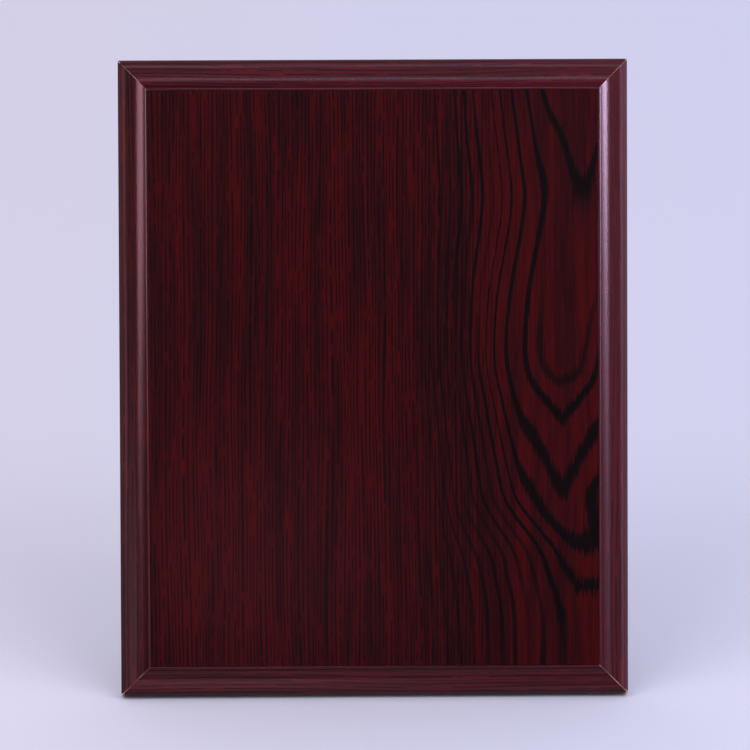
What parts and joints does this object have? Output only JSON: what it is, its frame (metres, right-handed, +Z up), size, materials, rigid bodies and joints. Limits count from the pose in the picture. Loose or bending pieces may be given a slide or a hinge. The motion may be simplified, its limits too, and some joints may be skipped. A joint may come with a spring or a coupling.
{
  "type": "wooden award plaque",
  "caption": "Upright dark-red wood-grain award plaque with a blank raised face, mitred cove mouldings, a folding easel strut and a keyhole plate for hanging.",
  "frame": {"origin": "on the table, in the middle of the standing plaque's outline: midway across the width, and midway between the foremost edge of the lower moulding's lip and the back of the strut's foot", "axes": "+Z up; +X to the right as seen by someone who faces the award face; +Y to the back, so the face looks along -Y and leans back by 12 degrees"},
  "size_m": [0.2, 0.0744, 0.2462],
  "materials": {
    "face_film": "satin printed film, dark red rosewood grain running up the face with a flame figure at one side, fine pore emboss",
    "moulding_film": "satin printed film, dark red straight grain along each moulding, fine emboss, worn through to the board at the corners",
    "mdf": "raw medium-density fibreboard",
    "flocked_card": "black flocked card, short velvety pile",
    "ribbon": "black woven satin ribbon",
    "zinc_steel": "bright zinc-plated steel",
    "staple_wire": "galvanised flat wire"
  },
  "bodies": {
    "plaque": {"core_board": "mdf", "face_film": "face_film", "bottom_moulding": "mdf", "right_moulding": "mdf", "top_moulding": "mdf", "left_moulding": "mdf", "bottom_wrap": "moulding_film", "right_wrap": "moulding_film", "top_wrap": "moulding_film", "left_wrap": "moulding_film", "corner_v_nails": "zinc_steel", "back_card": "flocked_card", "hinge_fixed_leaf": "zinc_steel", "hinge_screws": "zinc_steel", "hinge_pin": "zinc_steel", "keyhole_plate": "zinc_steel", "keyhole_tacks": "zinc_steel", "stay_ribbon": "ribbon", "back_staple": "staple_wire"},
    "strut": {"strut_board": "mdf", "strut_cover": "flocked_card", "hinge_moving_leaf": "zinc_steel", "strut_rivets": "zinc_steel", "strut_staple": "staple_wire"}
  },
  "joints": [
    {"name": "strut_fold", "type": "hinge", "parent": "plaque", "child": "strut", "pos_m": [0, 0.01239, 0.15973], "axis": [-1, 0, 0], "range_deg": [0, 20], "deforming": ["stay_ribbon"]}
  ]
}
